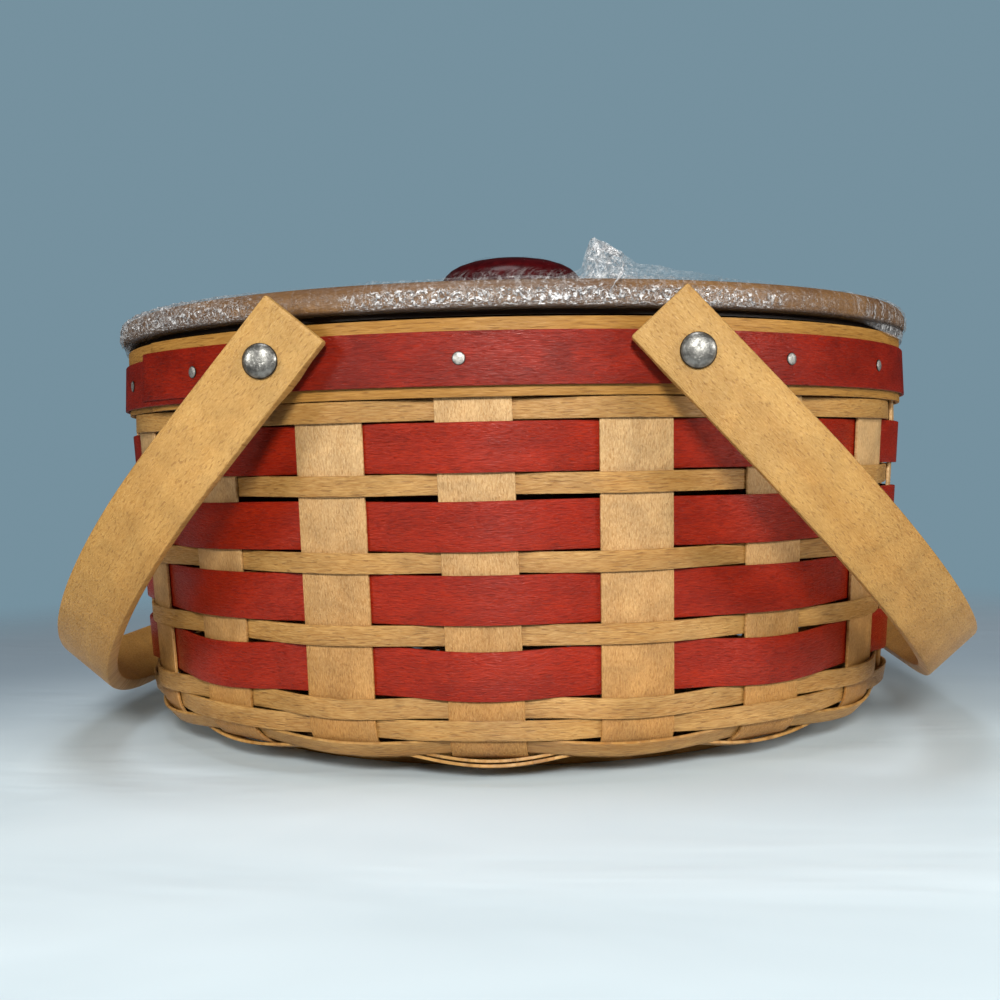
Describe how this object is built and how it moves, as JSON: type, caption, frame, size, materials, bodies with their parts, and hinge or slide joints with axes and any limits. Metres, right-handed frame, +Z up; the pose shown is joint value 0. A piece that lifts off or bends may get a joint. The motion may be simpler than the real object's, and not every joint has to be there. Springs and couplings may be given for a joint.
{
  "type": "round splint pie basket",
  "caption": "Round woven splint basket with red-stained rows, two swing handles on rivets, and a film-wrapped wooden lid with a knob",
  "frame": {"origin": "centre of the foot hoop, on the surface that the basket stands on, which is the bottom centre of the box to within 3 mm, because the right handle hangs a little further out than the left one", "axes": "+Z up along the basket's axis; -Y is the front; the handles' rivets run along Y, with the left handle at -X"},
  "size_m": [0.3631, 0.3368, 0.198],
  "materials": {
    "maple_splint": "thin matt varnish on honey-coloured splint",
    "red_stained_splint": "brick-red stain, matt",
    "maple_handle": "satin varnish on bent maple",
    "lid_wood": "satin brown varnish",
    "dark_red_knob": "dark red gloss lacquer",
    "antique_steel": "antique, worn bright on the dome",
    "tack_steel": "dull",
    "clear_film": "clear, crinkled"
  },
  "bodies": {
    "basket": {"long_splint_01": "maple_splint", "long_splint_02": "maple_splint", "long_splint_03": "maple_splint", "long_splint_04": "maple_splint", "long_splint_05": "maple_splint", "long_splint_06": "maple_splint", "long_splint_07": "maple_splint", "long_splint_08": "maple_splint", "long_splint_09": "maple_splint", "long_splint_10": "maple_splint", "narrow_weaver_1": "maple_splint", "narrow_weaver_2": "maple_splint", "narrow_weaver_3": "maple_splint", "narrow_weaver_4": "maple_splint", "narrow_weaver_5": "maple_splint", "narrow_weaver_6": "maple_splint", "narrow_weaver_7": "maple_splint", "narrow_weaver_8": "maple_splint", "narrow_weaver_9": "maple_splint", "red_weaver_1": "red_stained_splint", "red_weaver_2": "red_stained_splint", "red_weaver_3": "red_stained_splint", "red_weaver_4": "red_stained_splint", "floor_weaver": "maple_splint", "foot_hoop": "maple_splint", "rim_outer_band": "maple_splint", "rim_inner_band": "maple_splint", "red_trim_band": "red_stained_splint", "trim_tack_01": "tack_steel", "trim_tack_02": "tack_steel", "trim_tack_03": "tack_steel", "trim_tack_04": "tack_steel", "trim_tack_05": "tack_steel", "trim_tack_06": "tack_steel", "trim_tack_07": "tack_steel", "trim_tack_08": "tack_steel", "trim_tack_09": "tack_steel", "trim_tack_10": "tack_steel", "handle_rivet_left_front": "antique_steel", "handle_spacer_left_front": "maple_handle", "rivet_burr_left_front": "antique_steel", "handle_rivet_left_back": "antique_steel", "handle_spacer_left_back": "maple_handle", "rivet_burr_left_back": "antique_steel", "handle_rivet_right_front": "antique_steel", "handle_spacer_right_front": "maple_handle", "rivet_burr_right_front": "antique_steel", "handle_rivet_right_back": "antique_steel", "handle_spacer_right_back": "maple_handle", "rivet_burr_right_back": "antique_steel"},
    "left_handle": {"left_handle": "maple_handle"},
    "right_handle": {"right_handle": "maple_handle"},
    "lid": {"lid_panel": "lid_wood", "lid_locating_ring": "lid_wood", "lid_knob": "dark_red_knob", "knob_screw": "antique_steel", "shrink_film": "clear_film"}
  },
  "joints": [
    {"name": "left_handle_swing", "type": "hinge", "parent": "basket", "child": "left_handle", "pos_m": [-0.07, 0, 0.14112], "axis": [0, 1, 0], "range_deg": [0, 146.8]},
    {"name": "right_handle_swing", "type": "hinge", "parent": "basket", "child": "right_handle", "pos_m": [0.07, 0, 0.14112], "axis": [0, -1, 0], "range_deg": [-2.7, 144.1]},
    {"name": "lid_lift", "type": "slide", "parent": "basket", "child": "lid", "axis": [0, 0, 1], "range_m": [0, 0.025]}
  ]
}
